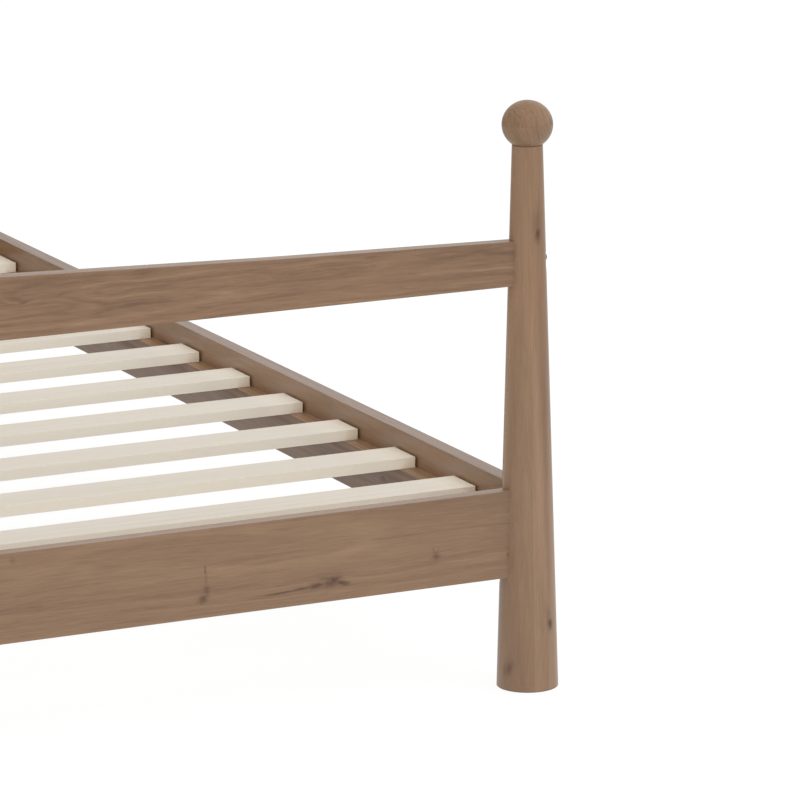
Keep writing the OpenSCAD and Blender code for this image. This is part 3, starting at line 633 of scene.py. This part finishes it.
# ----------------------------------------------------------- other pieces ----
b = box("center_beam")
board("center_beam", oak("oak_beam", "Y", b, 14.0, OAK_SHADED, pith=(0.03, 0.05), pitch=0.007, sway=0.03, rings=0.9, streak=0.8),
      ease=0.0015, pick=outer)
for i, n in enumerate(("center_leg_front", "center_leg_middle", "center_leg_rear")):
    paint(n, oak("oak_" + n, "Z", box(n), 15.0 + i, OAK_SHADED, pith=(0.03, 0.03), pitch=0.006, sway=0.02, rings=0.9, streak=0.8))


def dowel_wood():
    t = Tree("beech_dowels")
    x, y, z = t.split(t.node("ShaderNodeTexCoord").outputs["Object"])
    n = t.noise(t.xyz(t.mul(x, 60.0), t.mul(y, 420.0), t.mul(z, 420.0)), 1.0, 3.0, 0.6).outputs["Fac"]
    t.put(t.bsdf.inputs["Base Color"], t.ramp(n, [(0.25, (0.36, 0.24, 0.14)), (0.75, (0.58, 0.43, 0.28))]))
    t.put(t.bsdf.inputs["Roughness"], t.mad(n, -0.2, 0.68))
    t.put(t.bsdf.inputs["Normal"], t.bump(n, 0.3, 0.0003))
    return t.mat


def metal(name, base, rough, metallic=1.0, scale=260.0):
    t = Tree(name)
    x, y, z = t.split(t.node("ShaderNodeTexCoord").outputs["Object"])
    n = t.noise(t.xyz(x, y, z), scale, 4.0, 0.65).outputs["Fac"]
    m = t.noise(t.xyz(t.mul(x, 40.0), t.mul(y, 40.0), t.mul(z, 900.0)), 1.0, 2.0, 0.5).outputs["Fac"]
    t.put(t.bsdf.inputs["Base Color"], t.ramp(n, [(0.3, scaled(base, 0.82)), (0.7, scaled(base, 1.08))]))
    t.put(t.bsdf.inputs["Roughness"], t.mad(t.sub(n, 0.5), 0.35, t.mad(t.sub(m, 0.5), 0.25, rough)))
    t.bsdf.inputs["Metallic"].default_value = metallic
    t.put(t.bsdf.inputs["Normal"], t.bump(t.add(n, m), 0.12, 0.0002))
    return t.mat


def plastic(name, base, rough):
    t = Tree(name)
    v = t.node("ShaderNodeTexCoord").outputs["Object"]
    n = t.noise(v, 900.0, 3.0, 0.6).outputs["Fac"]
    w = t.noise(v, 60.0, 3.0, 0.6).outputs["Fac"]
    t.put(t.bsdf.inputs["Base Color"], t.ramp(w, [(0.3, scaled(base, 0.85)), (0.75, scaled(base, 1.35))]))
    t.put(t.bsdf.inputs["Roughness"], t.mad(t.sub(n, 0.5), 0.3, rough))
    t.put(t.bsdf.inputs["Normal"], t.bump(n, 0.35, 0.0002))
    return t.mat


def felt(name, base):
    t = Tree(name)
    v = t.node("ShaderNodeTexCoord").outputs["Object"]
    n = t.noise(v, 1500.0, 4.0, 0.7).outputs["Fac"]
    w = t.noise(v, 130.0, 3.0, 0.6).outputs["Fac"]
    t.put(t.bsdf.inputs["Base Color"], t.ramp(t.mad(n, 0.6, t.mul(w, 0.4)), [(0.25, scaled(base, 0.6)), (0.75, scaled(base, 1.4))]))
    t.put(t.bsdf.inputs["Roughness"], t.mad(n, 0.1, 0.88))
    t.bsdf.inputs["Sheen Weight"].default_value = 0.3
    t.put(t.bsdf.inputs["Normal"], t.bump(n, 0.8, 0.0006))
    return t.mat


dowel_mat = dowel_wood()
steel = metal("zinc_steel", (0.56, 0.57, 0.58), 0.34)
brass = metal("brass", (0.78, 0.57, 0.28), 0.30)
black = plastic("black_plastic", (0.020, 0.020, 0.021), 0.55)
felt_mat = felt("grey_felt", (0.18, 0.165, 0.15))
for n in ("finial_dowels", "foot_rail_dowels", "head_rail_dowels", "slat_pins"):
    paint(n, dowel_mat)
for n in ("beam_hanger_foot", "beam_hanger_head", "leg_studs", "upper_rail_bolts", "barrel_nuts", "hook_plates", "slot_plates",
          "hook_plate_screws", "slot_plate_screws", "hanger_screws"):
    paint(n, steel)
paint("leg_inserts", brass)
for n in ("leveller_front", "leveller_middle", "leveller_rear"):
    paint(n, black)
paint("post_glides", felt_mat)
b = box("bolt_caps")
paint("bolt_caps", oak("oak_caps", "X", (Vector((0.99, b[0].y, 0.59)), Vector((1.02, b[1].y, 0.95))), 41.0, POST, pith=(0.02, 0.03),
                       pitch=0.004, edge=False))

# ------------------------------------------------------------------ stage ----
KEY, KEY_GAIN, SKY = (0.59, -0.757, 0.27), 0.38, 1.0
FLOOR_SEEN, FLOOR_GIVES = 0.90, 0.72
me = bpy.data.meshes.new("floor")
h = 120.0
me.from_pydata([(-h, -h, -0.0003), (h, -h, -0.0003), (h, h, -0.0003), (-h, h, -0.0003)], [], [(0, 1, 2, 3)])
floor = bpy.data.objects.new("floor", me)
bpy.context.scene.collection.objects.link(floor)
ft = Tree("studio_floor")
ft.bsdf.inputs["Base Color"].default_value = (0.13, 0.13, 0.13, 1.0)
ft.bsdf.inputs["Roughness"].default_value = 0.9
ft.bsdf.inputs["Specular IOR Level"].default_value = 0.0
ft.bsdf.inputs["Emission Color"].default_value = (1.0, 1.0, 1.0, 1.0)
# seen directly the floor is blown out to white, yet the light it throws up at the bed is softer than the ceiling's
seen = ft.node("ShaderNodeLightPath").outputs["Is Camera Ray"]
ft.put(ft.bsdf.inputs["Emission Strength"], ft.mad(seen, FLOOR_SEEN - FLOOR_GIVES, FLOOR_GIVES))
me.materials.append(ft.mat)

world = bpy.data.worlds.new("studio")
bpy.context.scene.world = world
world.use_nodes = True
wt = world.node_tree
bg = wt.nodes["Background"]
bg.inputs["Color"].default_value = (1.0, 1.0, 1.0, 1.0)


def wnode(kind, **props):
    n = wt.nodes.new(kind)
    for k, v in props.items():
        setattr(n, k, v)
    return n


# one broad soft source: the studio is brighter on the side of KEY
key = wnode("ShaderNodeVectorMath", operation="DOT_PRODUCT")
wt.links.new(wnode("ShaderNodeTexCoord").outputs["Generated"], key.inputs[0])
key.inputs[1].default_value = Vector(KEY).normalized()
soft = wnode("ShaderNodeMath", operation="MULTIPLY_ADD")
wt.links.new(key.outputs["Value"], soft.inputs[0])
soft.inputs[1].default_value = KEY_GAIN
soft.inputs[2].default_value = SKY
pick = wnode("ShaderNodeMix", data_type="FLOAT")
wt.links.new(wnode("ShaderNodeLightPath").outputs["Is Camera Ray"], pick.inputs[0])
wt.links.new(soft.outputs[0], pick.inputs[2])
pick.inputs[3].default_value = 1.02
wt.links.new(pick.outputs[0], bg.inputs["Strength"])

bpy.context.scene.view_settings.view_transform = "Standard"
bpy.context.scene.view_settings.look = "None"
bpy.context.scene.view_settings.exposure = 0.0
bpy.context.scene.view_settings.gamma = 1.0
